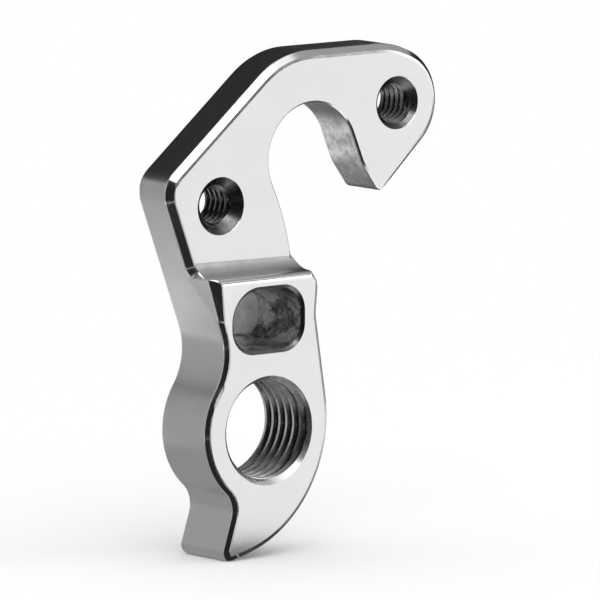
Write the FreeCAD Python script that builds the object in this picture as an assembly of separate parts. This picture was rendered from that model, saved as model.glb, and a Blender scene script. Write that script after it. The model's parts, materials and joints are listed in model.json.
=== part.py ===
import FreeCAD, Part
import math
import os

# Bicycle derailleur hanger: one machined aluminium plate. All lengths are in millimetres.
# X points forward along the bicycle, +Y inboard towards the wheel, +Z up.
# The origin is the centre of the derailleur thread on the outboard face of the leg.

# Thicknesses, measured along Y from the outboard face of the leg
LEG_THICKNESS = 6.9
PLATE_THICKNESS = 4.7
PLATE_FACE_Y = LEG_THICKNESS - PLATE_THICKNESS

# Threaded holes: the bore of each is its tap-drill size, and each mouth is countersunk
DERAILLEUR_BORE_D = 9.0
DERAILLEUR_MOUTH_D = 10.0
DERAILLEUR_MOUTH_ANGLE = 90.0
SCREW_BORE_D = 3.3
SCREW_MOUTH_ANGLE = 90.0
SCREW_EXIT_D = 3.7
SCREW_EXIT_ANGLE = 90.0
REAR_SCREW_X = -3.75
REAR_SCREW_Z = 20.5
REAR_SCREW_MOUTH_D = 5.3
FRONT_SCREW_X = 16.65
FRONT_SCREW_Z = 28.4
FRONT_SCREW_MOUTH_D = 4.9

# Axle slot: a round end and two walls that open downwards and forwards
AXLE_X = 6.85
AXLE_Z = 24.1
SLOT_WIDTH = 10.0
SLOT_MOUTH_X = 12.65
SLOT_MOUTH_Z = 23.1
SLOT_MOUTH_R = 4.0
SLOT_HEEL_X = 3.8
SLOT_HEEL_Z = 18.7
SLOT_HEEL_R = 24.0
TIP_X = 15.05
TIP_Z = 21.4
TIP_R = 0.95

# Outline of the upper plate
REAR_SHOULDER_X = -7.0
REAR_SHOULDER_Z = 21.8
REAR_SHOULDER_R = 2.65
TOP_Z = 33.9
TOP_REAR_X = 3.5
TOP_REAR_R = 9.0
TOP_FRONT_X = 16.35
TOP_FRONT_R = 8.0
NOSE_R = 5.0

# Outline of the leg
BOSS_R = 7.1
WAIST_R = 5.9
WAIST_ANGLE = 145.7
NOTCH_R = 2.3
NOTCH_ANGLE = 228.5
CLAW_X = -4.1
CLAW_Z = -10.75
CLAW_R = 0.85
TOE_R = 12.4
TOE_FLAT = 0.3
TOE_X = CLAW_X + TOE_R + TOE_FLAT
TOE_Z = -8.6
WRIST_X = 5.75
WRIST_Z = 10.2
WRIST_R = 3.0
EAR_X = 5.95
EAR_Z = 12.6
EAR_R = 1.4
CROOK_X = 4.4
CROOK_Z = 15.4

# Step between the leg and the plate
LEDGE_Z = 14.15
LEDGE_R = 0.7
STEP_FILLET_R = 1.4

# Two facets on the leg's rear corner, from the ledge down to the bevel: the first is at 45 degrees
FACET_TOP_X = -5.35
FACET_TOP_DEPTH = 0.9
FACET_FOOT_X = -5.03
FACET_FOOT_DEPTH = 0.42
FACET_FOOT_Z = 10.3
FACET_LEAN = 20.0

# Pocket below the ledge, with sloping walls
POCKET_X = 0.0
POCKET_Z = 10.1
POCKET_WIDTH = 7.8
POCKET_HEIGHT = 5.6
POCKET_CORNER_R = 2.2
POCKET_REAR_TOP_R = 2.9
POCKET_DEPTH = 5.4
POCKET_TAPER = 0.8

# Broken edges
PLATE_BEVEL = 0.65
LEG_BEVEL = 0.42
INBOARD_BEVEL = 0.3
SLOT_BREAK = 0.2

# How far a cutter runs past the part, and the gap below which two points are one
CLEAR = 5.0
TOUCHING = 1e-5

# Kinds of turn in an outline that is followed clockwise, as seen from outboard
BOSS = "boss"
HOLLOW = "hollow"
CORNER = "corner"


def point(x, y, z):
    return FreeCAD.Vector(x, y, z)


def heading(angle):
    """Unit vector in the XZ plane, at an angle in radians from +X towards +Z."""
    return FreeCAD.Vector(math.cos(angle), 0, math.sin(angle))


def reach(turn):
    """How far the outline passes to the left of a turn's centre: a corner passes through it."""
    kind, x, z, radius = turn
    return {BOSS: radius, HOLLOW: -radius, CORNER: 0.0}[kind]


def tangent(first, second):
    """Heading, start and end of the straight line that joins two turns."""
    start = point(first[1], 0, first[2])
    end = point(second[1], 0, second[2])
    gap = end - start
    lean = (reach(first) - reach(second)) / gap.Length
    angle = math.atan2(gap.z, gap.x) - math.asin(max(-1.0, min(1.0, lean)))
    left = heading(angle + math.pi / 2)
    start += left * reach(first)
    end += left * reach(second)
    if start.distanceToPoint(end) < TOUCHING:
        end = start
    return angle, start, end


def rounded(turn, arriving, leaving):
    """Start, middle and end of the arc at one turn, between its two straight lines."""
    kind, x, z, radius = turn
    swing = (leaving[0] - arriving[0]) % (2 * math.pi)
    if kind == BOSS or (kind == CORNER and swing > math.pi):
        swing -= 2 * math.pi
    if kind == CORNER:
        centre = point(x, 0, z)
        setback = radius * math.tan(abs(swing) / 2)
        start = centre - heading(arriving[0]) * setback
        end = centre + heading(leaving[0]) * setback
        inward = heading(leaving[0]) - heading(arriving[0])
        inward.normalize()
        return start, centre + inward * (radius / math.cos(swing / 2) - radius), end
    side = 1 if kind == BOSS else -1
    middle = heading(arriving[0] + swing / 2 + side * math.pi / 2) * radius
    return arriving[2], point(x, 0, z) + middle, leaving[1]


def outline(turns):
    """Face in the plane Y = 0, bounded by arcs at the turns and the lines between them."""
    lines = [tangent(turn, turns[(i + 1) % len(turns)]) for i, turn in enumerate(turns)]
    arcs = [rounded(turn, lines[i - 1], lines[i]) if turn[3] > 0 else (point(turn[1], 0, turn[2]),) * 3
            for i, turn in enumerate(turns)]
    edges = []
    for i, arc in enumerate(arcs):
        if turns[i][3] > 0:
            edges.append(Part.Arc(*arc).toShape())
        start, end = arc[2], arcs[(i + 1) % len(arcs)][0]
        if start.distanceToPoint(end) > TOUCHING:
            edges.append(Part.LineSegment(start, end).toShape())
    return Part.Face(Part.Wire(edges))


def slab(face, low_y, high_y):
    """The face made solid from one depth to another."""
    return face.translated(point(0, low_y, 0)).extrude(point(0, high_y - low_y, 0))


def touching(radius, angle):
    """Centre of a circle that touches the boss round the derailleur thread, at an angle in degrees."""
    centre = heading(math.radians(angle)) * (BOSS_R + radius)
    return centre.x, centre.z


def blank_outline():
    """The whole part's outline, with the axle slot still filled in."""
    waist_x, waist_z = touching(WAIST_R, WAIST_ANGLE)
    notch_x, notch_z = touching(NOTCH_R, NOTCH_ANGLE)
    return outline([
        (BOSS, REAR_SHOULDER_X, REAR_SHOULDER_Z, REAR_SHOULDER_R),
        (CORNER, TOP_REAR_X, TOP_Z, TOP_REAR_R),
        (CORNER, TOP_FRONT_X, TOP_Z, TOP_FRONT_R),
        (BOSS, FRONT_SCREW_X, FRONT_SCREW_Z, NOSE_R),
        (BOSS, TIP_X, TIP_Z, TIP_R),
        (CORNER, TIP_X - CLEAR, TIP_Z - CLEAR, 0),
        (CORNER, CROOK_X, CROOK_Z, 0),
        (BOSS, EAR_X - EAR_R, EAR_Z, EAR_R),
        (HOLLOW, WRIST_X + WRIST_R, WRIST_Z, WRIST_R),
        (CORNER, TOE_X, TOE_Z, TOE_R),
        (BOSS, CLAW_X, CLAW_Z, CLAW_R),
        (HOLLOW, notch_x, notch_z, NOTCH_R),
        (BOSS, 0, 0, BOSS_R),
        (HOLLOW, waist_x, waist_z, WAIST_R),
    ])


def slot_outline():
    """The axle slot and the open mouth below it."""
    return outline([
        (BOSS, AXLE_X, AXLE_Z, SLOT_WIDTH / 2),
        (CORNER, SLOT_MOUTH_X, SLOT_MOUTH_Z, SLOT_MOUTH_R),
        (HOLLOW, TIP_X, TIP_Z, TIP_R),
        (CORNER, TIP_X + 2 * CLEAR, TIP_Z + CLEAR, 0),
        (CORNER, TIP_X + 2 * CLEAR, CROOK_Z - CLEAR, 0),
        (CORNER, CROOK_X, CROOK_Z, 0),
        (CORNER, SLOT_HEEL_X, SLOT_HEEL_Z, SLOT_HEEL_R),
    ])


def extruded_along_x(corners, arcs):
    """Solid whose profile in the YZ plane has these corners, joined by lines, or by an arc where
    arcs gives the middle point that follows a corner."""
    far_x = REAR_SHOULDER_X - REAR_SHOULDER_R - CLEAR
    length = FRONT_SCREW_X + NOSE_R + CLEAR - far_x
    edges = []
    for i, (y, z) in enumerate(corners):
        start, end = point(far_x, y, z), point(far_x, *corners[(i + 1) % len(corners)])
        if i in arcs:
            edges.append(Part.Arc(start, point(far_x, *arcs[i]), end).toShape())
        else:
            edges.append(Part.LineSegment(start, end).toShape())
    return Part.Face(Part.Wire(edges)).extrude(point(length, 0, 0))


def step_cutter():
    """What is cut away outboard of the plate, down to a fillet and a sharp ledge."""
    fillet_y = PLATE_FACE_Y - STEP_FILLET_R
    fillet_z = LEDGE_Z + STEP_FILLET_R
    diagonal = STEP_FILLET_R * math.sqrt(0.5)
    corners = [(-CLEAR, TOP_Z + CLEAR), (-CLEAR, LEDGE_Z), (fillet_y, LEDGE_Z),
               (PLATE_FACE_Y, fillet_z), (PLATE_FACE_Y, TOP_Z + CLEAR)]
    return extruded_along_x(corners, {2: (fillet_y + diagonal, fillet_z - diagonal)})


def ledge_cutter():
    """What is cut away to round the ledge."""
    diagonal = LEDGE_R * math.sqrt(0.5)
    corners = [(0, LEDGE_Z - LEDGE_R), (LEDGE_R, LEDGE_Z), (-CLEAR, LEDGE_Z), (-CLEAR, LEDGE_Z - LEDGE_R)]
    return extruded_along_x(corners, {0: (LEDGE_R - diagonal, LEDGE_Z - LEDGE_R + diagonal)})


def facet_corners(z, edge_x, depth):
    """Corners of what the facets take away at one height. The first facet starts at edge_x, and
    ends at a depth where the second one starts."""
    lean = math.radians(FACET_LEAN)
    bend = point(edge_x - depth, depth, z)
    back = bend + point(-math.sin(lean), math.cos(lean), 0) * LEG_THICKNESS
    return [point(edge_x + CLEAR, -CLEAR, z), bend, back, point(back.x - CLEAR, back.y, z),
            point(back.x - CLEAR, -CLEAR, z)]


def flat_sided(low, high):
    """Solid between two polygons that have the same number of corners."""
    faces = [Part.Face(Part.makePolygon(corners + corners[:1])) for corners in (low, high)]
    for i in range(len(low)):
        j = (i + 1) % len(low)
        faces.append(Part.Face(Part.makePolygon([low[i], low[j], high[j], high[i], low[i]])))
    return Part.Solid(Part.Shell(faces))


def facet_cutter():
    """What is cut away for the facets on the leg's rear corner."""
    return flat_sided(facet_corners(FACET_FOOT_Z, FACET_FOOT_X, FACET_FOOT_DEPTH),
                      facet_corners(LEDGE_Z, FACET_TOP_X, FACET_TOP_DEPTH))


def pocket_wire(y, inset):
    """Rounded rectangle of the pocket at one depth, smaller by the inset on every side."""
    half_x = POCKET_WIDTH / 2 - inset
    half_z = POCKET_HEIGHT / 2 - inset
    radius = POCKET_CORNER_R - inset
    face = outline([
        (CORNER, POCKET_X - half_x, POCKET_Z + half_z, POCKET_REAR_TOP_R - inset),
        (CORNER, POCKET_X + half_x, POCKET_Z + half_z, radius),
        (CORNER, POCKET_X + half_x, POCKET_Z - half_z, radius),
        (CORNER, POCKET_X - half_x, POCKET_Z - half_z, radius),
    ])
    return face.OuterWire.translated(point(0, y, 0))


def pocket_cutter():
    """Blind pocket that narrows towards its floor."""
    return Part.makeLoft([pocket_wire(0, 0), pocket_wire(POCKET_DEPTH, POCKET_TAPER)], True, True)


def mouth_cutter(x, y, z, way, bore_d, mouth_d, angle):
    """Cone that narrows from a mouth to its bore. Way is 1 where it goes inboard, and -1 outboard."""
    depth = (mouth_d - bore_d) / 2 / math.tan(math.radians(angle / 2))
    return Part.makeCone(mouth_d / 2, bore_d / 2, depth, point(x, y, z), point(0, way, 0))


def bore_cutter(x, z, near_y, bore_d, near_mouth, far_mouth):
    """Bore along Y to the inboard face. Each mouth is given by its diameter and angle."""
    bore = Part.makeCylinder(bore_d / 2, LEG_THICKNESS - near_y, point(x, near_y, z), point(0, 1, 0))
    return bore.fuse([mouth_cutter(x, near_y, z, 1, bore_d, *near_mouth),
                      mouth_cutter(x, LEG_THICKNESS, z, -1, bore_d, *far_mouth)])


def band(low_z, high_z):
    """Block as wide as the part and far deeper, between two heights."""
    return extruded_along_x([(-CLEAR, low_z), (-CLEAR, high_z), (LEG_THICKNESS + CLEAR, high_z),
                             (LEG_THICKNESS + CLEAR, low_z)], {})


def in_filled_slot(box):
    """Whether an edge lies between the crook and the tip, where the slot is cut later."""
    return box.XMin > CROOK_X - TOUCHING and box.ZMin > LEDGE_Z - TOUCHING and box.ZMax < TIP_Z


def on_ledge(box):
    """Whether an edge lies in the ledge's plane."""
    return box.ZMin > LEDGE_Z - TOUCHING and box.ZMax < LEDGE_Z + TOUCHING


def outline_edges(shape, low_z, high_z):
    """The outboard edges of the outline that lie between two heights: each has just one face
    beside it that runs along Y, and that face isn't level."""
    found = []
    for edge in shape.Edges:
        box = edge.BoundBox
        if box.YMax > PLATE_FACE_Y + TOUCHING or box.ZMin < low_z - TOUCHING or box.ZMax > high_z + TOUCHING:
            continue
        if in_filled_slot(box) or on_ledge(box):
            continue
        walls = 0
        for face in shape.ancestorsOfType(edge, Part.Face):
            low_u, high_u, low_v, high_v = face.ParameterRange
            normal = face.normalAt((low_u + high_u) / 2, (low_v + high_v) / 2)
            level = face.BoundBox.ZLength < TOUCHING
            walls += abs(normal.y) < TOUCHING and not level
        if walls == 1:
            found.append(edge)
    return found


def inboard_edges(shape):
    """The edges round the flat inboard face."""
    return [edge for edge in shape.Edges if edge.BoundBox.YMin > LEG_THICKNESS - TOUCHING]


def bevelled_blank():
    """Blank with its step, and with the edges of its outline bevelled on both sides."""
    blank = slab(blank_outline(), 0, LEG_THICKNESS)
    blank = blank.makeChamfer(INBOARD_BEVEL, inboard_edges(blank)).cut(step_cutter())
    foot_z = CLAW_Z - CLAW_R - CLEAR
    leg = blank.common(band(foot_z, LEDGE_Z))
    leg = leg.makeChamfer(LEG_BEVEL, outline_edges(leg, foot_z, LEDGE_Z))
    plate = blank.common(band(LEDGE_Z, TOP_Z + CLEAR))
    plate = plate.makeChamfer(PLATE_BEVEL, outline_edges(plate, LEDGE_Z, TOP_Z))
    return leg.fuse(plate).removeSplitter()


def slot_break_cutter():
    """What is cut away to break the slot's outboard edge."""
    throat_y = PLATE_FACE_Y + SLOT_BREAK
    cutter = slab(slot_outline().makeOffset2D(SLOT_BREAK, 2), -CLEAR, throat_y)
    throat = [edge for edge in cutter.Edges if edge.BoundBox.YMin > throat_y - TOUCHING]
    return cutter.makeChamfer(SLOT_BREAK, throat)


def hanger_body():
    """The finished hanger."""
    body = bevelled_blank()
    for cutter in (ledge_cutter(), facet_cutter(), slab(slot_outline(), -CLEAR, LEG_THICKNESS + CLEAR),
                   slot_break_cutter(), pocket_cutter()):
        body = body.cut(cutter)
    derailleur_mouth = (DERAILLEUR_MOUTH_D, DERAILLEUR_MOUTH_ANGLE)
    screw_exit = (SCREW_EXIT_D, SCREW_EXIT_ANGLE)
    return body.cut([
        bore_cutter(0, 0, 0, DERAILLEUR_BORE_D, derailleur_mouth, derailleur_mouth),
        bore_cutter(REAR_SCREW_X, REAR_SCREW_Z, PLATE_FACE_Y, SCREW_BORE_D,
                    (REAR_SCREW_MOUTH_D, SCREW_MOUTH_ANGLE), screw_exit),
        bore_cutter(FRONT_SCREW_X, FRONT_SCREW_Z, PLATE_FACE_Y, SCREW_BORE_D,
                    (FRONT_SCREW_MOUTH_D, SCREW_MOUTH_ANGLE), screw_exit),
    ])


if __name__ == "__main__":
    os.makedirs("parts", exist_ok=True)
    hanger = hanger_body()
    print("valid", hanger.isValid(), "solids", len(hanger.Solids), "volume", round(hanger.Volume, 1))
    print(hanger.BoundBox)
    hanger.Solids[0].exportStep("parts/hanger_body.step")
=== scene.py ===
"""Look of a replaceable derailleur hanger, machined from aluminium plate.

The hanger is one piece. Its visual mesh starts from the solid model's own mesh: the sharp
edges are broken, and cut threads take the place of the three plain bores.
"""

import json
import logging
import math
from dataclasses import dataclass, field
from enum import Enum

import bmesh
import bpy
from mathutils import Matrix, Vector
from mathutils.bvhtree import BVHTree

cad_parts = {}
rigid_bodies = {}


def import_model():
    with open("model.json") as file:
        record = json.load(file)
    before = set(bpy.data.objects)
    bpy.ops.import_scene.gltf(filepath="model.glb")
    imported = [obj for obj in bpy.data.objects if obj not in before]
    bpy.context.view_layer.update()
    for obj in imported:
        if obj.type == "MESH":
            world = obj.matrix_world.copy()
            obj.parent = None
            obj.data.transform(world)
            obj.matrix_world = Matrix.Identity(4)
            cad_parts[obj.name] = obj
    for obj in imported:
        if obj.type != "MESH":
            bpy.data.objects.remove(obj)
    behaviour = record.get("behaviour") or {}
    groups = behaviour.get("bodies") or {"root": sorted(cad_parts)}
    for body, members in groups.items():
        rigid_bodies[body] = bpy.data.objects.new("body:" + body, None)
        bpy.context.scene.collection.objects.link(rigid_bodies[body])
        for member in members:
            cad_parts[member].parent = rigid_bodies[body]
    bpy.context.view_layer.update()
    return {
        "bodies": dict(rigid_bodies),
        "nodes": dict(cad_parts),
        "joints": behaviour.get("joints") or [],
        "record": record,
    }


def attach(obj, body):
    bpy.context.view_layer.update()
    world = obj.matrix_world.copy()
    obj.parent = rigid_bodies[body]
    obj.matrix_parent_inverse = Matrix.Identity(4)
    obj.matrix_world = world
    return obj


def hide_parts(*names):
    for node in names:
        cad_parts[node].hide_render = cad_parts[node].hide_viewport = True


MM = 0.001
LOG = logging.getLogger("hanger")

# Heights along Y, in millimetres, of the plate's outboard face and of the inboard face.
PLATE_FACE_Y = 2.2
INBOARD_Y = 6.9

# Rounding limits in metres: what lies closer is one place, and what is shorter has no length.
SAME_PLACE = 1e-6
NO_LENGTH = 1e-7


class Region(Enum):
    """The parts of the surface that are cut or worn in different ways. The step and the threads also carry
    painted shade.
    """

    FACE = "tumbled_face"
    WALL = "milled_wall"
    BEVEL = "cut_bevel"
    SLOT = "milled_slot"
    # Dark finish that paints shade on the step.
    STEP = "step_painted_shade"
    POCKET = "rough_pocket"
    POCKET_FLOOR = "rough_pocket_floor"
    # Dark finish that paints shade in the threads and on the rim of the pocket's mouth.
    THREAD = "thread_painted_shade"
    CREST = "thread_crest"
    MOUTH = "countersink"
    RIM = "burnished_edge"


def add_object(name: str, mesh: bmesh.types.BMesh) -> bpy.types.Object:
    """Turns a mesh under work into an object of the scene, and frees it.

    Args:
        name: Name of the object and of its mesh.
        mesh: The finished mesh, in metres.

    Returns:
        The new object.
    """
    data = bpy.data.meshes.new(name)
    mesh.to_mesh(data)
    mesh.free()
    made = bpy.data.objects.new(name, data)
    bpy.context.scene.collection.objects.link(made)
    return made


def node_group(name: str, inputs: dict[str, str], outputs: dict[str, str]) -> bpy.types.NodeTree:
    """Starts a shader node group with its sockets.

    Args:
        name: Name of the group.
        inputs: Kind of each input socket, by the socket's name.
        outputs: Kind of each output socket, by the socket's name.

    Returns:
        The new group, holding its input and output nodes.
    """
    group = bpy.data.node_groups.new(name, "ShaderNodeTree")
    for way, sockets in (("INPUT", inputs), ("OUTPUT", outputs)):
        for socket, kind in sockets.items():
            group.interface.new_socket(name=socket, in_out=way, socket_type=f"NodeSocket{kind}")
    group.nodes.new("NodeGroupInput").name = "in"
    group.nodes.new("NodeGroupOutput").name = "out"
    return group


def feed(tree: bpy.types.NodeTree, slot: bpy.types.NodeSocket, value: object) -> None:
    """Gives an input its value.

    Args:
        tree: Tree that the input's node is in.
        slot: The input.
        value: A socket, which is linked to it, or a plain value, which is written in it.
    """
    if isinstance(value, bpy.types.NodeSocket):
        tree.links.new(value, slot)
    else:
        slot.default_value = value


def maths(tree: bpy.types.NodeTree, operation: str, *values: object) -> bpy.types.NodeSocket:
    """Adds a Math node.

    Args:
        tree: Tree that the node goes into.
        operation: What the node does, such as MULTIPLY.
        values: A number or a socket for each of its inputs.

    Returns:
        The node's output.
    """
    node = tree.nodes.new("ShaderNodeMath")
    node.operation = operation
    for slot, value in zip(node.inputs, values):
        feed(tree, slot, value)
    return node.outputs["Value"]


def ramp(tree: bpy.types.NodeTree, value: bpy.types.NodeSocket, low: object, high: object,
         to_low: object = 0.0, to_high: object = 1.0) -> bpy.types.NodeSocket:
    """Maps a value smoothly from one range to another.

    Args:
        tree: Tree that the node goes into.
        value: The value that is mapped.
        low: Number or socket, the value that gives to_low.
        high: Number or socket, the value that gives to_high.
        to_low: Number or socket at the low end.
        to_high: Number or socket at the high end.

    Returns:
        The mapped value.
    """
    node = tree.nodes.new("ShaderNodeMapRange")
    node.interpolation_type = "SMOOTHSTEP"
    ends = {"Value": value, "From Min": low, "From Max": high, "To Min": to_low, "To Max": to_high}
    for name, end in ends.items():
        feed(tree, node.inputs[name], end)
    return node.outputs["Result"]


def noise(tree: bpy.types.NodeTree, vector: bpy.types.NodeSocket, scale: object,
          detail: float, rough: float = 0.5) -> bpy.types.NodeSocket:
    """Adds a noise pattern.

    Args:
        tree: Tree that the node goes into.
        vector: Place that the pattern reads.
        scale: Number or socket, in turns for each metre.
        detail: Octaves of finer noise.
        rough: Share that each finer octave keeps.

    Returns:
        The noise, about 0.5.
    """
    node = tree.nodes.new("ShaderNodeTexNoise")
    for name, value in (("Vector", vector), ("Scale", scale), ("Detail", detail), ("Roughness", rough)):
        feed(tree, node.inputs[name], value)
    return node.outputs["Fac"]


def blend(tree: bpy.types.NodeTree, share: bpy.types.NodeSocket, first: object,
          second: object) -> bpy.types.NodeSocket:
    """Mixes two colours.

    Args:
        tree: Tree that the node goes into.
        share: Share of the second colour.
        first: Colour or socket.
        second: Colour or socket.

    Returns:
        The mixed colour.
    """
    node = tree.nodes.new("ShaderNodeMix")
    node.data_type = "RGBA"
    feed(tree, node.inputs["Factor"], share)
    ends = [slot for slot in node.inputs if slot.type == "RGBA"]
    feed(tree, ends[0], first)
    feed(tree, ends[1], second)
    return next(slot for slot in node.outputs if slot.type == "RGBA")


def bare_material(name: str) -> bpy.types.Material:
    """Starts a material that holds no shader yet.

    Args:
        name: Name of the material.

    Returns:
        The material, with its output node alone.
    """
    made = bpy.data.materials.new(name)
    made.use_nodes = True
    made.node_tree.nodes.remove(made.node_tree.nodes["Principled BSDF"])
    return made


def glow(tree: bpy.types.NodeTree, level: float) -> bpy.types.NodeSocket:
    """Adds a shader that shows one even grey.

    Args:
        tree: Tree that the node goes into.
        level: The grey, where 1 is white.

    Returns:
        The shader's output.
    """
    node = tree.nodes.new("ShaderNodeEmission")
    node.inputs["Color"].default_value = (level, level, level, 1)
    return node.outputs["Emission"]


@dataclass
class Effects:
    """Node groups that the finishes share."""

    fine_detail: float = 3.0
    fine_rough: float = 0.6
    patch_detail: float = 5.0
    patch_rough: float = 0.62
    speck_range: tuple[float, float] = (0.25, 0.75)
    patch_share: float = 0.65
    speck_share: float = 0.35
    line_detail: float = 2.0
    line_range: tuple[float, float] = (0.3, 0.7)
    grain: bpy.types.NodeTree = field(init=False)
    marks: bpy.types.NodeTree = field(init=False)

    def __post_init__(self) -> None:
        """Builds both groups."""
        self.grain = self.build_grain()
        self.marks = self.build_marks()

    def build_grain(self) -> bpy.types.NodeTree:
        """Builds the satin grain: fine pits, and broad patches that are a little duller.

        Returns:
            The group.
        """
        group = node_group(
            "satin_grain",
            {"Vector": "Vector", "Grain Scale": "Float", "Patch Scale": "Float", "Patch Low": "Float",
             "Patch High": "Float", "Light": "Color", "Dull": "Color", "Smooth": "Float", "Rough": "Float"},
            {"Colour": "Color", "Roughness": "Float", "Height": "Float"})
        given, outside = group.nodes["in"].outputs, group.nodes["out"]
        fine = noise(group, given["Vector"], given["Grain Scale"], self.fine_detail, self.fine_rough)
        patch = noise(group, given["Vector"], given["Patch Scale"], self.patch_detail, self.patch_rough)
        spread = ramp(group, patch, given["Patch Low"], given["Patch High"])
        speck = ramp(group, fine, *self.speck_range)
        both = maths(group, "ADD", maths(group, "MULTIPLY", spread, self.patch_share),
                     maths(group, "MULTIPLY", speck, self.speck_share))
        group.links.new(blend(group, both, given["Dull"], given["Light"]), outside.inputs["Colour"])
        group.links.new(ramp(group, both, 0.0, 1.0, given["Rough"], given["Smooth"]),
                        outside.inputs["Roughness"])
        group.links.new(fine, outside.inputs["Height"])
        return group

    def build_marks(self) -> bpy.types.NodeTree:
        """Builds the lines that a cutter leaves: noise drawn out along one direction.

        Returns:
            The group.
        """
        group = node_group("cutter_marks", {"Vector": "Vector", "Squeeze": "Vector", "Line Scale": "Float"},
                           {"Height": "Float"})
        given, outside = group.nodes["in"].outputs, group.nodes["out"]
        squeeze = group.nodes.new("ShaderNodeVectorMath")
        squeeze.operation = "MULTIPLY"
        group.links.new(given["Vector"], squeeze.inputs[0])
        group.links.new(given["Squeeze"], squeeze.inputs[1])
        line = noise(group, squeeze.outputs["Vector"], given["Line Scale"], self.line_detail)
        group.links.new(ramp(group, line, *self.line_range), outside.inputs["Height"])
        return group


@dataclass(frozen=True)
class AluminiumFinish:
    """One state of the bare aluminium surface, from its light patches to its dull ones.

    Lengths are in millimetres. A tint is the share of blue that a grey holds, over its red and green. The
    cutter's lines are noise, squeezed along Y so that they run that way. The two heights of the lower
    highlight's fade are where that painted highlight is full and where it ends.
    """

    region: Region
    light: float
    dull: float
    smooth: float
    rough: float
    grain_mm: float
    patch_mm: float
    grain_height_mm: float
    patch_softness: float = 0.18
    light_tint: float = 1.005
    dull_tint: float = 1.01
    line_height_mm: float = 0.0
    line_mm: float = 0.3
    line_squeeze: tuple[float, float, float] = (1.0, 0.04, 1.0)
    # A pale painted highlight on the lower side of a thread, and the heights over which it fades.
    lower_highlight_fade_mm: tuple[float, float] | None = None
    lower_highlight: tuple[float, float, float, float] = (0.96, 0.96, 0.965, 1)

    def material(self, effects: Effects) -> bpy.types.Material:
        """Builds the material.

        Args:
            effects: Node groups that the finishes share.

        Returns:
            The material.
        """
        made = bpy.data.materials.new(f"aluminium_{self.region.value}")
        made.use_nodes = True
        tree = made.node_tree
        shader = tree.nodes["Principled BSDF"]
        shader.inputs["Metallic"].default_value = 1.0
        place = tree.nodes.new("ShaderNodeTexCoord").outputs["Object"]
        grain = self.add_group(tree, effects.grain, {
            "Vector": place,
            "Grain Scale": 1 / (self.grain_mm * MM),
            "Patch Scale": 1 / (self.patch_mm * MM),
            "Patch Low": 0.5 - self.patch_softness,
            "Patch High": 0.5 + self.patch_softness,
            "Light": (self.light, self.light, self.light * self.light_tint, 1),
            "Dull": (self.dull, self.dull, self.dull * self.dull_tint, 1),
            "Smooth": self.smooth,
            "Rough": self.rough,
        })
        tree.links.new(self.colour(tree, place, grain["Colour"]), shader.inputs["Base Color"])
        tree.links.new(grain["Roughness"], shader.inputs["Roughness"])
        pits = self.add_bump(tree, grain["Height"], self.grain_height_mm)
        if self.line_height_mm:
            marks = self.add_group(tree, effects.marks, {
                "Vector": place, "Squeeze": self.line_squeeze, "Line Scale": 1 / (self.line_mm * MM)})
            lines = self.add_bump(tree, marks["Height"], self.line_height_mm)
            tree.links.new(lines.outputs["Normal"], pits.inputs["Normal"])
        tree.links.new(pits.outputs["Normal"], shader.inputs["Normal"])
        return made

    def add_group(self, tree: bpy.types.NodeTree, group: bpy.types.NodeTree,
                  values: dict[str, object]) -> bpy.types.NodeOutputs:
        """Places a shared node group in the material.

        Args:
            tree: Tree of the material.
            group: The shared group.
            values: A value or a socket for each input, by the input's name.

        Returns:
            The outputs of the placed group.
        """
        node = tree.nodes.new("ShaderNodeGroup")
        node.node_tree = group
        for name, value in values.items():
            feed(tree, node.inputs[name], value)
        return node.outputs

    def add_bump(self, tree: bpy.types.NodeTree, height: bpy.types.NodeSocket,
                 height_mm: float) -> bpy.types.Node:
        """Raises a pattern from the surface.

        Args:
            tree: Tree of the material.
            height: The pattern, from 0 to 1.
            height_mm: How high the pattern's 1 lies.

        Returns:
            The Bump node.
        """
        bump = tree.nodes.new("ShaderNodeBump")
        bump.inputs["Distance"].default_value = height_mm * MM
        tree.links.new(height, bump.inputs["Height"])
        return bump

    def colour(self, tree: bpy.types.NodeTree, place: bpy.types.NodeSocket,
               plain: bpy.types.NodeSocket) -> bpy.types.NodeSocket:
        """Brightens the lower side of a thread with a painted highlight, where the thread's painted shade
        gives way to pale metal.

        Args:
            tree: Tree of the material.
            place: Place on the object.
            plain: Colour of the surface without the painted highlight.

        Returns:
            The colour, which is the plain one for a finish that has no painted highlight.
        """
        if self.lower_highlight_fade_mm is None:
            return plain
        low, high = self.lower_highlight_fade_mm
        split = tree.nodes.new("ShaderNodeSeparateXYZ")
        tree.links.new(place, split.inputs["Vector"])
        # Painted highlight: full below the lower height, gone above the upper one.
        share = ramp(tree, split.outputs["Z"], low * MM, high * MM, 1.0, 0.0)
        return blend(tree, share, plain, self.lower_highlight)


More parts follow.
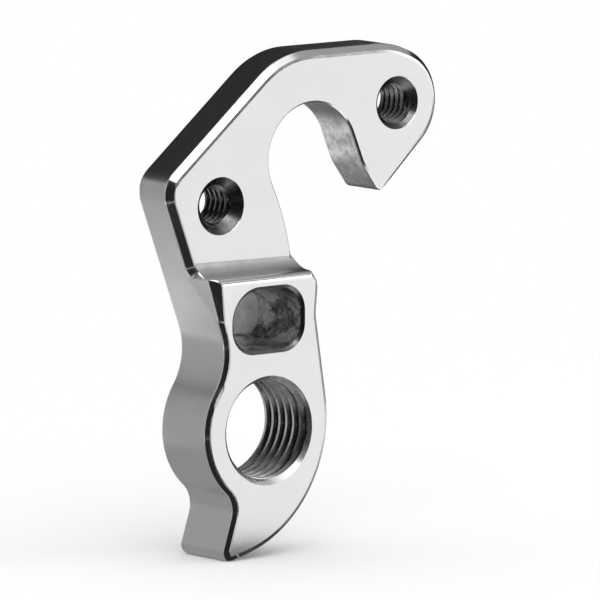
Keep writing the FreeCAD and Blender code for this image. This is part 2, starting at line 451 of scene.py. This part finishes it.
FINISHES = (
    AluminiumFinish(Region.FACE, light=0.80, dull=0.77, smooth=0.27, rough=0.31,
                    grain_mm=0.22, patch_mm=5.0, grain_height_mm=0.0006),
    AluminiumFinish(Region.WALL, light=0.82, dull=0.76, smooth=0.28, rough=0.31,
                    grain_mm=0.25, patch_mm=4.0, grain_height_mm=0.0005,
                    line_height_mm=0.0010, line_mm=0.35),
    AluminiumFinish(Region.BEVEL, light=0.90, dull=0.86, smooth=0.12, rough=0.17,
                    grain_mm=0.20, patch_mm=3.0, grain_height_mm=0.0005),
    AluminiumFinish(Region.SLOT, light=0.94, dull=0.50, smooth=0.34, rough=0.50,
                    grain_mm=0.30, patch_mm=1.6, grain_height_mm=0.025, patch_softness=0.14),
    # The step's dark grey is painted shade in its fillet and on its ledge.
    AluminiumFinish(Region.STEP, light=0.52, dull=0.40, smooth=0.34, rough=0.46,
                    grain_mm=0.30, patch_mm=2.5, grain_height_mm=0.004),
    AluminiumFinish(Region.POCKET, light=1.00, dull=0.08, smooth=0.30, rough=0.48,
                    grain_mm=0.45, patch_mm=2.6, grain_height_mm=0.045, patch_softness=0.07),
    AluminiumFinish(Region.POCKET_FLOOR, light=1.00, dull=0.84, smooth=0.70, rough=0.90,
                    grain_mm=0.45, patch_mm=1.3, grain_height_mm=0.020, patch_softness=0.14),
    # The thread's dark grey is painted shade in the hole. Its lower turns fade to a pale painted highlight,
    # and the crests and countersinks of the derailleur's thread keep pale metal.
    AluminiumFinish(Region.THREAD, light=0.26, dull=0.12, smooth=0.20, rough=0.32,
                    grain_mm=0.20, patch_mm=1.5, grain_height_mm=0.001, lower_highlight_fade_mm=(-4.6, -3.0)),
    AluminiumFinish(Region.CREST, light=0.99, dull=0.90, smooth=0.48, rough=0.60,
                    grain_mm=0.30, patch_mm=2.0, grain_height_mm=0.001),
    AluminiumFinish(Region.MOUTH, light=0.96, dull=0.88, smooth=0.24, rough=0.34,
                    grain_mm=0.30, patch_mm=2.0, grain_height_mm=0.001),
    AluminiumFinish(Region.RIM, light=0.92, dull=0.86, smooth=0.20, rough=0.28,
                    grain_mm=0.30, patch_mm=2.0, grain_height_mm=0.0005),
)
MATERIAL_INDEX = {finish.region: index for index, finish in enumerate(FINISHES)}


@dataclass(frozen=True)
class TappedHole:
    """A hole along Y with a cut thread, countersunk at both ends. Sizes are in millimetres.

    A hole with bright_crest has bright metal on its countersinks, and on the thread's crests from
    bright_from_y inwards. Its first turns, and the whole thread of any other hole, take the dark finish
    that paints shade into the thread.
    """

    name: str
    x: float
    z: float
    near_y: float
    bore_d: float
    thread_d: float
    pitch: float
    near_mouth_d: float
    far_mouth_d: float
    far_y: float = INBOARD_Y
    bright_crest: bool = False
    bright_from_y: float = 1.6
    crest_share: float = 0.27
    root_share: float = 0.12
    flat_steps: int = 2
    flank_steps: int = 3
    turns_round: int = 96
    lip: float = 0.03
    join: float = 0.002
    cut_slack: float = 1e-5
    crest_slack: float = 0.02
    mouth_slack: float = 0.01

    def cone(self, y: float) -> float:
        """Gives the radius of the wider countersink at a height along the hole.

        Args:
            y: Height along the hole.

        Returns:
            The radius, which is less than the bore's clear of both countersinks. Both are at 45 degrees.
        """
        near = self.near_mouth_d / 2 - (y - self.near_y)
        far = self.far_mouth_d / 2 - (self.far_y - y)
        return max(near, far)

    def profile(self) -> list[tuple[float, float]]:
        """Works out one turn of the thread: its flat crest, a flank, its root and the other flank.

        Returns:
            Radius and height of each point, without the last one, which starts the next turn.
        """
        crest, root = self.bore_d / 2, self.thread_d / 2
        crest_flat, root_flat = self.pitch * self.crest_share, self.pitch * self.root_share
        flank = (self.pitch - crest_flat - root_flat) / 2
        corners = ((crest, 0.0), (crest, crest_flat), (root, crest_flat + flank),
                   (root, self.pitch - flank), (crest, self.pitch))
        points = []
        for (radius, height), (next_radius, next_height) in zip(corners, corners[1:]):
            steps = self.flat_steps if radius == next_radius else self.flank_steps
            for step in range(steps):
                share = step / steps
                points.append((radius + (next_radius - radius) * share,
                               height + (next_height - height) * share))
        return points

    def build(self) -> bmesh.types.BMesh:
        """Sweeps the thread's profile round the hole and trims it to the two mouths.

        Returns:
            The thread as an open tube in metres, its faces towards the axis.
        """
        mesh = bmesh.new()
        self.sweep(mesh)
        for height, side in ((self.near_y + self.lip, -1.0), (self.far_y - self.lip, 1.0)):
            everything = list(mesh.verts) + list(mesh.edges) + list(mesh.faces)
            bmesh.ops.bisect_plane(mesh, geom=everything, dist=self.cut_slack, plane_co=(0, height, 0),
                                   plane_no=(0, side, 0), clear_outer=True)
        for vert in mesh.verts:
            across = math.hypot(vert.co.x, vert.co.z)
            wanted = max(across, self.cone(vert.co.y))
            vert.co.x *= wanted / across
            vert.co.z *= wanted / across
        bmesh.ops.recalc_face_normals(mesh, faces=mesh.faces)
        middle = mesh.faces[:][len(mesh.faces) // 2]
        across = middle.calc_center_median()
        if middle.normal.dot(Vector((across.x, 0, across.z))) > 0:
            bmesh.ops.reverse_faces(mesh, faces=mesh.faces)
        bmesh.ops.translate(mesh, verts=mesh.verts, vec=(self.x, 0, self.z))
        bmesh.ops.scale(mesh, verts=mesh.verts, vec=(MM, MM, MM))
        return mesh

    def sweep(self, mesh: bmesh.types.BMesh) -> None:
        """Spins the thread's profile into a screw that reaches past both ends of the hole.

        Args:
            mesh: Empty mesh that the screw goes into, round the Y axis and in millimetres.
        """
        turns = math.ceil((self.far_y - self.near_y) / self.pitch) + 2
        chain = []
        for turn in range(-1, turns):
            for radius, height in self.profile():
                chain.append(mesh.verts.new((radius, self.near_y + turn * self.pitch + height, 0.0)))
        for low, high in zip(chain, chain[1:]):
            mesh.edges.new((low, high))
        bmesh.ops.spin(mesh, geom=list(mesh.verts) + list(mesh.edges), cent=(0, 0, 0), axis=(0, 1, 0),
                       dvec=(0, self.pitch / self.turns_round, 0), angle=2 * math.pi,
                       steps=self.turns_round, use_merge=False, use_duplicate=False)
        bmesh.ops.remove_doubles(mesh, verts=mesh.verts, dist=self.join)

    def holds(self, point: Vector) -> bool:
        """Tells whether a point of the solid's mesh lies on this hole's own wall or countersinks."""
        across = math.hypot(point.x - self.x * MM, point.z - self.z * MM)
        return across < max(self.near_mouth_d, self.far_mouth_d) / 2 * MM + SAME_PLACE

    def region_at(self, place: Vector) -> Region:
        """Tells which finish the thread takes at a place.

        Args:
            place: Middle of a face of the thread, in metres.

        Returns:
            The region of that face.
        """
        # The dark thread finish is painted shade: all of a hole without bright_crest, and the first turns
        # of the one with it.
        if not self.bright_crest:
            return Region.THREAD
        reach = math.hypot(place.x - self.x * MM, place.z - self.z * MM)
        crest = (self.bore_d / 2 + self.crest_slack) * MM
        if reach < crest and place.y > self.bright_from_y * MM:
            return Region.CREST
        if crest < reach < (self.cone(place.y / MM) + self.mouth_slack) * MM:
            return Region.MOUTH
        return Region.THREAD


@dataclass
class Hanger:
    """The hanger itself: the solid's mesh with broken edges and cut threads.

    Sizes are in millimetres and angles in degrees. What has normal in its name is a limit on a
    part of a face's outward direction, which is along Y where the name doesn't say.
    """

    edge_break: float = 0.07
    bevel_break: float = 0.15
    pocket_break: float = 0.28
    weld: float = 0.08
    flat_angle: float = 0.2
    break_angle: float = 24.0
    crease_angle: float = 15.0

    level_normal: float = 0.97
    bore_end_normal: float = 0.99
    bevel_normal: float = 0.35
    upright_normal: float = 0.5
    rim_bevel_normals: tuple[float, float] = (-0.9, -0.6)
    rear_bevel_normal_x: float = -0.2
    rear_bevel_normal_z: float = 0.3
    step_normal_z: float = 0.06
    floor_normal: float = 0.9

    ledge_z: float = 14.2
    step_height: float = 1.6
    slot_centre: tuple[float, float] = (6.85, 24.1)
    slot_reach: float = 12.0
    slot_from_z: float = 14.5
    pocket_centre: tuple[float, float] = (0.0, 10.1)
    pocket_reach: tuple[float, float] = (4.4, 3.3)
    pocket_back: float = 1.0
    pocket_mouth_depth: float = 1.0
    pocket_rim_depth: float = 0.3
    rim_reach: float = 0.2
    holes: tuple[TappedHole, ...] = (
        TappedHole("derailleur", x=0.0, z=0.0, near_y=0.0, bore_d=9.0, thread_d=10.0, pitch=1.0,
                   near_mouth_d=10.0, far_mouth_d=10.0, bright_crest=True),
        TappedHole("rear_screw", x=-3.75, z=20.5, near_y=PLATE_FACE_Y, bore_d=3.3, thread_d=4.0,
                   pitch=0.7, near_mouth_d=5.3, far_mouth_d=3.7, turns_round=64),
        TappedHole("front_screw", x=16.65, z=28.4, near_y=PLATE_FACE_Y, bore_d=3.3, thread_d=4.0,
                   pitch=0.7, near_mouth_d=4.9, far_mouth_d=3.7, turns_round=64),
    )

    def build(self, frame: dict, effects: Effects) -> bpy.types.Object:
        """Builds the piece and puts it in place of the plain solid.

        Args:
            effects: Node groups that the finishes share.

        Returns:
            The finished object.
        """
        mesh = bmesh.new()
        mesh.from_mesh(frame["nodes"]["hanger_body"].data)
        bmesh.ops.remove_doubles(mesh, verts=mesh.verts, dist=SAME_PLACE)
        bmesh.ops.dissolve_degenerate(mesh, dist=NO_LENGTH, edges=mesh.edges)
        self.open_bores(mesh)
        rims = self.break_edges(mesh)
        self.assign_regions(mesh, rims)
        self.add_threads(mesh)
        self.mark_creases(mesh)
        piece = add_object("hanger", mesh)
        for finish in FINISHES:
            piece.data.materials.append(finish.material(effects))
        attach(piece, "root")
        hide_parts("hanger_body")
        return piece

    def open_bores(self, mesh: bmesh.types.BMesh) -> None:
        """Takes the plain walls and countersinks of the bores out of the mesh.

        Args:
            mesh: Mesh of the solid.
        """
        inside = []
        for face in mesh.faces:
            sloping = abs(face.normal.y) <= self.bore_end_normal
            points = [vert.co for vert in face.verts]
            if sloping and any(all(hole.holds(point) for point in points) for hole in self.holes):
                inside.append(face)
        bmesh.ops.delete(mesh, geom=inside, context="FACES")

    def break_edges(self, mesh: bmesh.types.BMesh) -> set[int]:
        """Breaks each sharp edge by a narrow flat.

        Very short edges are welded first, because a break folds over an edge that is shorter
        than its width. A layer marks the new faces, so that a later pass leaves them alone. The
        few vertices that a break throws outwards at a tight corner go back to the surface.

        Args:
            mesh: Mesh of the solid, without its bores.

        Returns:
            Indices of the new narrow faces.
        """
        bmesh.ops.dissolve_limit(mesh, angle_limit=math.radians(self.flat_angle),
                                 use_dissolve_boundaries=False, verts=mesh.verts, edges=mesh.edges,
                                 delimit=set())
        solid = BVHTree.FromBMesh(mesh)
        bmesh.ops.remove_doubles(mesh, verts=mesh.verts, dist=self.weld * MM)
        broken = mesh.faces.layers.int.new("broken")
        for offset in (self.bevel_break, self.pocket_break, self.edge_break):
            sharp = [edge for edge in mesh.edges if len(edge.link_faces) == 2
                     and edge.calc_face_angle(0.0) > math.radians(self.break_angle)
                     and not any(face[broken] for face in edge.link_faces)
                     and self.break_of(edge) == offset]
            result = bmesh.ops.bevel(mesh, geom=sharp, offset=offset * MM, offset_type="OFFSET",
                                     segments=1, profile=0.5, affect="EDGES", material=-1,
                                     clamp_overlap=False)
            for face in result["faces"]:
                face[broken] = 1
        for vert in mesh.verts:
            place, normal, _, _ = solid.find_nearest(vert.co)
            if (vert.co - place).dot(normal) > self.weld * MM:
                vert.co = place
        mesh.faces.index_update()
        return {face.index for face in mesh.faces if face[broken]}

    def by_pocket(self, point: Vector) -> bool:
        """Tells whether a place lies in the pocket or on the rim round it.

        Args:
            point: The place, in millimetres.

        Returns:
            True in the pocket and on its rim.
        """
        across = abs(point.x - self.pocket_centre[0])
        up = abs(point.z - self.pocket_centre[1])
        return (across < self.pocket_reach[0] and up < self.pocket_reach[1]
                and point.y < INBOARD_Y - self.pocket_back)

    def break_of(self, edge: bmesh.types.BMEdge) -> float:
        """Gives the width that an edge is broken by.

        Args:
            edge: Sharp edge between two faces.

        Returns:
            The width in millimetres. The outboard face's bevels are broken more than other edges,
            apart from those at the rear, and the pocket's mouth most. The slot's bevels stay sharp.
        """
        facing, other = sorted(edge.link_faces, key=lambda face: face.normal.y)
        if facing.normal.y >= -self.level_normal:
            return self.edge_break
        low, high = self.rim_bevel_normals
        if low < other.normal.y < high:
            if self.faces_slot(other):
                return 0.0
            at_rear = (other.normal.x < self.rear_bevel_normal_x
                       and other.normal.z < self.rear_bevel_normal_z)
            return self.edge_break if at_rear else self.bevel_break
        at_mouth = all(self.by_pocket(vert.co / MM) and vert.co.y < self.pocket_mouth_depth * MM
                       for vert in edge.verts)
        return self.pocket_break if at_mouth and other.normal.y > -self.upright_normal else self.edge_break

    def faces_slot(self, face: bmesh.types.BMFace) -> bool:
        """Tells whether a face lies near the axle slot and looks towards its middle.

        Args:
            face: Face of the hanger.

        Returns:
            True for the slot's wall and its bevels.
        """
        centre = face.calc_center_median() / MM
        towards = Vector((self.slot_centre[0] - centre.x, 0, self.slot_centre[1] - centre.z))
        return (centre.z > self.slot_from_z and towards.length < self.slot_reach
                and towards.dot(face.normal) > 0)

    def region_of(self, face: bmesh.types.BMFace) -> Region:
        """Tells which finish a face takes, by its place and the way that it looks.

        Args:
            face: Face of the hanger.

        Returns:
            The region that it belongs to.
        """
        centre = face.calc_center_median() / MM
        normal = face.normal
        if self.by_pocket(centre) and centre.y > self.pocket_rim_depth:
            return Region.POCKET_FLOOR if normal.y < -self.floor_normal else Region.POCKET
        at_step = self.ledge_z < centre.z < self.ledge_z + self.step_height and centre.y < PLATE_FACE_Y
        # The step's upward faces take a dark finish: painted shade in its fillet.
        if at_step and normal.z > self.step_normal_z:
            return Region.STEP
        if abs(normal.y) > self.level_normal:
            return Region.FACE
        if abs(normal.y) > self.bevel_normal:
            return Region.BEVEL
        return Region.SLOT if self.faces_slot(face) else Region.WALL

    def assign_regions(self, mesh: bmesh.types.BMesh, rims: set[int]) -> None:
        """Gives each face the finish of its region.

        The narrow rims have a bright finish of their own, apart from the one round the pocket's mouth,
        which takes the threads' dark finish as painted shade.

        Args:
            mesh: Mesh of the hanger, without its threads.
            rims: Indices of the faces that broken edges left.
        """
        for face in mesh.faces:
            region = self.region_of(face)
            if face.index in rims and region not in (Region.POCKET, Region.POCKET_FLOOR):
                by_pocket = self.by_pocket(face.calc_center_median() / MM)
                # The rim round the pocket's mouth takes the dark thread finish: painted shade.
                region = Region.THREAD if by_pocket else Region.RIM
            face.material_index = MATERIAL_INDEX[region]

    def add_threads(self, mesh: bmesh.types.BMesh) -> None:
        """Adds the threads and joins each one to the rims of its hole.

        Args:
            mesh: Mesh of the hanger, open where the bores were.
        """
        for hole in self.holes:
            thread = hole.build()
            for face in thread.faces:
                face.material_index = MATERIAL_INDEX[hole.region_at(face.calc_center_median())]
            data = bpy.data.meshes.new(hole.name)
            thread.to_mesh(data)
            thread.free()
            mesh.from_mesh(data)
            bpy.data.meshes.remove(data)
            rim = MATERIAL_INDEX[Region.MOUTH if hole.bright_crest else Region.BEVEL]
            for height in (hole.near_y, hole.far_y):
                ends = [edge for edge in mesh.edges if len(edge.link_faces) == 1
                        and all(hole.holds(vert.co) and abs(vert.co.y / MM - height) < self.rim_reach
                                for vert in edge.verts)]
                for face in bmesh.ops.bridge_loops(mesh, edges=ends)["faces"]:
                    face.material_index = rim

    def mark_creases(self, mesh: bmesh.types.BMesh) -> None:
        """Shades the mesh smooth, apart from its real edges and the sides of its burnished rims.

        Args:
            mesh: The whole mesh of the hanger.
        """
        rim = MATERIAL_INDEX[Region.RIM]
        limit = math.radians(self.crease_angle)
        bmesh.ops.recalc_face_normals(mesh, faces=mesh.faces)
        for face in mesh.faces:
            face.smooth = True
        for edge in mesh.edges:
            kinds = {face.material_index for face in edge.link_faces}
            beside_rim = rim in kinds and len(kinds) == 2
            open_edge = len(edge.link_faces) != 2
            edge.smooth = not (open_edge or beside_rim or edge.calc_face_angle(0.0) > limit)


@dataclass(frozen=True)
class Card:
    """A studio card that only the metal sees. Lengths are in metres and angles in degrees."""

    name: str
    level: float

    def outline(self, mesh: bmesh.types.BMesh, centre: Vector) -> None:
        """Makes the card's surface round a centre."""
        raise NotImplementedError

    def build(self, centre: Vector) -> None:
        """Builds the card.

        Args:
            centre: Place that the card stands round.
        """
        mesh = bmesh.new()
        self.outline(mesh, centre)
        card = add_object(self.name, mesh)
        card.visible_camera = False
        card.visible_shadow = False
        card.visible_diffuse = False
        made = bare_material(self.name)
        tree = made.node_tree
        tree.links.new(glow(tree, self.level), tree.nodes["Material Output"].inputs["Surface"])
        card.data.materials.append(made)


@dataclass(frozen=True)
class CurvedCard(Card):
    """A card bent round the hanger, between two azimuths and two heights above the horizon."""

    azimuths: tuple[float, float]
    heights: tuple[float, float]
    radius: float
    rise_steps: int = 12
    turn_steps: int = 16

    def outline(self, mesh: bmesh.types.BMesh, centre: Vector) -> None:
        """Spins an upright arc part of the way round the centre.

        Args:
            mesh: Empty mesh that the card goes into.
            centre: Place that the card stands round.
        """
        low, high = self.heights
        start, end = (math.radians(azimuth) for azimuth in self.azimuths)
        chain = []
        for step in range(self.rise_steps + 1):
            rise = math.radians(low + (high - low) * step / self.rise_steps)
            chain.append(mesh.verts.new((self.radius * math.cos(rise), 0, self.radius * math.sin(rise))))
        for one, two in zip(chain, chain[1:]):
            mesh.edges.new((one, two))
        bmesh.ops.rotate(mesh, verts=mesh.verts, cent=(0, 0, 0), matrix=Matrix.Rotation(start, 3, "Z"))
        bmesh.ops.spin(mesh, geom=list(mesh.verts) + list(mesh.edges), cent=(0, 0, 0), axis=(0, 0, 1),
                       dvec=(0, 0, 0), angle=end - start, steps=self.turn_steps,
                       use_merge=False, use_duplicate=False)
        bmesh.ops.translate(mesh, verts=mesh.verts, vec=centre)


@dataclass(frozen=True)
class FlatCard(Card):
    """A card that lies level, between two corners."""

    low: tuple[float, float]
    high: tuple[float, float]
    height: float

    def outline(self, mesh: bmesh.types.BMesh, centre: Vector) -> None:
        """Stretches a square over the card's place.

        Args:
            mesh: Empty mesh that the card goes into.
            centre: Not used, because a flat card's corners are places in the scene.
        """
        (left, front), (right, back) = self.low, self.high
        bmesh.ops.create_grid(mesh, x_segments=1, y_segments=1, size=0.5)
        bmesh.ops.scale(mesh, verts=mesh.verts, vec=(right - left, back - front, 1))
        middle = ((left + right) / 2, (front + back) / 2, self.height)
        bmesh.ops.translate(mesh, verts=mesh.verts, vec=middle)


# Levels of the cards that lie just over the floor. Where two overlap, the upper one is seen.
LOW_CARD_Z = -0.01155
HIGH_CARD_Z = -0.01150


@dataclass(frozen=True)
class Lamp:
    """A square soft lamp. Lengths are in metres and its power is in watts."""

    name: str
    place: tuple[float, float, float]
    size: float
    power: float

    def build(self, aim: Vector) -> None:
        """Builds the lamp.

        Args:
            aim: Place that it points at.
        """
        data = bpy.data.lights.new(self.name, "AREA")
        data.size = self.size
        data.energy = self.power
        lamp = bpy.data.objects.new(self.name, data)
        bpy.context.scene.collection.objects.link(lamp)
        lamp.location = self.place
        lamp.rotation_euler = (aim - Vector(self.place)).to_track_quat("-Z", "Y").to_euler()


@dataclass
class Studio:
    """Floor, soft lamps, cards and camera. Lengths are in metres and angles in degrees."""

    floor_z: float = -0.0116
    floor_half: float = 2.0
    floor_grey: float = 0.9
    white_from: float = 0.03
    white_past: float = 0.16
    aim: tuple[float, float, float] = (0.0063, 0.0034, 0.0110)
    camera_azimuth: float = -38.5
    camera_elevation: float = 7.8
    camera_distance: float = 0.9
    frame_width: float = 0.0545
    sensor_mm: float = 36.0
    clip_start: float = 0.01

    cards: tuple[Card, ...] = (
        CurvedCard("dark_card_behind", 0.015, (4, 118), (3, 80), 0.10),
        CurvedCard("dark_card_right", 0.10, (4, 58), (-28, 3), 0.10),
        CurvedCard("grey_card_left", 0.36, (118, 198), (-25, 26), 0.085),
        CurvedCard("dark_card_front", 0.016, (199, 256), (-28, 42), 0.085),
        CurvedCard("grey_card_right", 0.22, (-18, 4), (-28, 3), 0.10),
        CurvedCard("grey_card_above", 0.34, (-34, 32), (36, 78), 0.090),
        CurvedCard("dark_card_corner", 0.05, (118, 176), (27, 80), 0.100),
        CurvedCard("grey_strip_front", 0.12, (-104, -64), (20, 46), 0.115),
        CurvedCard("grey_strip_top", 0.12, (-64, -38), (33, 46), 0.115),
        FlatCard("grey_card_under", 0.32, (-0.060, 0.0005), (-0.002, 0.070), LOW_CARD_Z),
        FlatCard("light_card_under", 0.80, (-0.030, 0.036), (0.004, 0.080), HIGH_CARD_Z),
        FlatCard("dark_card_under", 0.02, (-0.060, -0.060), (-0.003, 0.0005), LOW_CARD_Z),
        FlatCard("dark_card_under_right", 0.10, (-0.002, 0.0005), (0.080, 0.080), LOW_CARD_Z),
        FlatCard("dark_card_before", 0.03, (-0.003, -0.0075), (0.005, 0.0005), HIGH_CARD_Z),
        FlatCard("grey_card_before", 0.15, (0.005, -0.0045), (0.050, 0.0005), HIGH_CARD_Z),
        FlatCard("white_card_under", 1.0, (-0.003, -0.080), (0.090, 0.0005), LOW_CARD_Z),
    )
    lamps: tuple[Lamp, ...] = (
        Lamp("key", (-0.25, -0.45, 0.75), size=0.5, power=1.2),
        Lamp("fill", (0.6, -0.5, 0.35), size=0.6, power=0.6),
    )

    def build(self) -> None:
        """Builds the whole studio, in the order of its parts."""
        self.add_world()
        self.add_floor()
        for part in self.cards + self.lamps:
            part.build(Vector(self.aim))
        self.add_camera()

    def add_world(self) -> None:
        """Adds the white surround, which lights the hanger and shows behind it and in its metal."""
        world = bpy.data.worlds.new("studio")
        bpy.context.scene.world = world
        world.use_nodes = True
        surround = world.node_tree.nodes["Background"]
        surround.inputs["Color"].default_value = (1, 1, 1, 1)
        surround.inputs["Strength"].default_value = 1.0

    def seen_directly(self, tree: bpy.types.NodeTree) -> bpy.types.NodeSocket:
        """Tells what the camera sees, also in metal and glass, from what only lights.

        Args:
            tree: Tree that the nodes go into.

        Returns:
            A socket that gives 1 for what is seen and 0 otherwise.
        """
        path = tree.nodes.new("ShaderNodeLightPath")
        total = maths(tree, "ADD", path.outputs["Is Camera Ray"], path.outputs["Is Glossy Ray"])
        total = maths(tree, "ADD", total, path.outputs["Is Transmission Ray"])
        return maths(tree, "MINIMUM", total, 1.0)

    def away_from_hanger(self, tree: bpy.types.NodeTree) -> bpy.types.NodeSocket:
        """Measures how far a place of the floor is from the hanger.

        Args:
            tree: Tree that the nodes go into.

        Returns:
            A socket that gives 0 by the hanger and 1 where the floor is plain white.
        """
        place = tree.nodes.new("ShaderNodeTexCoord").outputs["Object"]
        centred = tree.nodes.new("ShaderNodeVectorMath")
        centred.operation = "SUBTRACT"
        centred.inputs[1].default_value = (self.aim[0], self.aim[1], self.floor_z)
        tree.links.new(place, centred.inputs[0])
        length = tree.nodes.new("ShaderNodeVectorMath")
        length.operation = "LENGTH"
        tree.links.new(centred.outputs["Vector"], length.inputs[0])
        return ramp(tree, length.outputs["Value"], self.white_from, self.white_past)

    def add_floor(self) -> None:
        """Adds the pale floor, which turns to plain white away from the hanger."""
        mesh = bmesh.new()
        bmesh.ops.create_grid(mesh, x_segments=1, y_segments=1, size=self.floor_half)
        bmesh.ops.translate(mesh, verts=mesh.verts, vec=(0, 0, self.floor_z))
        floor = add_object("floor", mesh)
        made = bare_material("pale_floor")
        tree = made.node_tree
        paper = tree.nodes.new("ShaderNodeBsdfDiffuse")
        paper.inputs["Color"].default_value = (self.floor_grey, self.floor_grey, self.floor_grey, 1)
        mix = tree.nodes.new("ShaderNodeMixShader")
        share = maths(tree, "MULTIPLY", self.away_from_hanger(tree), self.seen_directly(tree))
        tree.links.new(share, mix.inputs["Fac"])
        tree.links.new(paper.outputs["BSDF"], mix.inputs[1])
        tree.links.new(glow(tree, 1.0), mix.inputs[2])
        tree.links.new(mix.outputs["Shader"], tree.nodes["Material Output"].inputs["Surface"])
        floor.data.materials.append(made)

    def add_camera(self) -> None:
        """Adds the camera, which looks from the photograph's side through a long lens."""
        data = bpy.data.cameras.new("camera")
        data.sensor_width = self.sensor_mm
        data.lens = self.sensor_mm * self.camera_distance / self.frame_width
        data.clip_start = self.clip_start
        camera = bpy.data.objects.new("camera", data)
        bpy.context.scene.collection.objects.link(camera)
        turn, rise = math.radians(-self.camera_azimuth), math.radians(self.camera_elevation)
        level = math.cos(rise)
        ahead = Vector((math.sin(turn) * level, math.cos(turn) * level, -math.sin(rise)))
        camera.location = Vector(self.aim) - ahead * self.camera_distance
        camera.rotation_euler = ahead.to_track_quat("-Z", "Y").to_euler()
        bpy.context.scene.camera = camera


def main() -> None:
    """Builds the hanger and its studio, and logs how many faces and finishes the hanger has."""
    logging.basicConfig(level=logging.INFO, format="%(name)s: %(message)s")
    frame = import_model()
    effects = Effects()
    piece = Hanger().build(frame, effects)
    LOG.info("%s has %d faces and %d finishes", piece.name, len(piece.data.polygons),
             len(piece.data.materials))
    Studio().build()
    bpy.context.scene.view_settings.view_transform = "Standard"


if __name__ == "__main__":
    main()
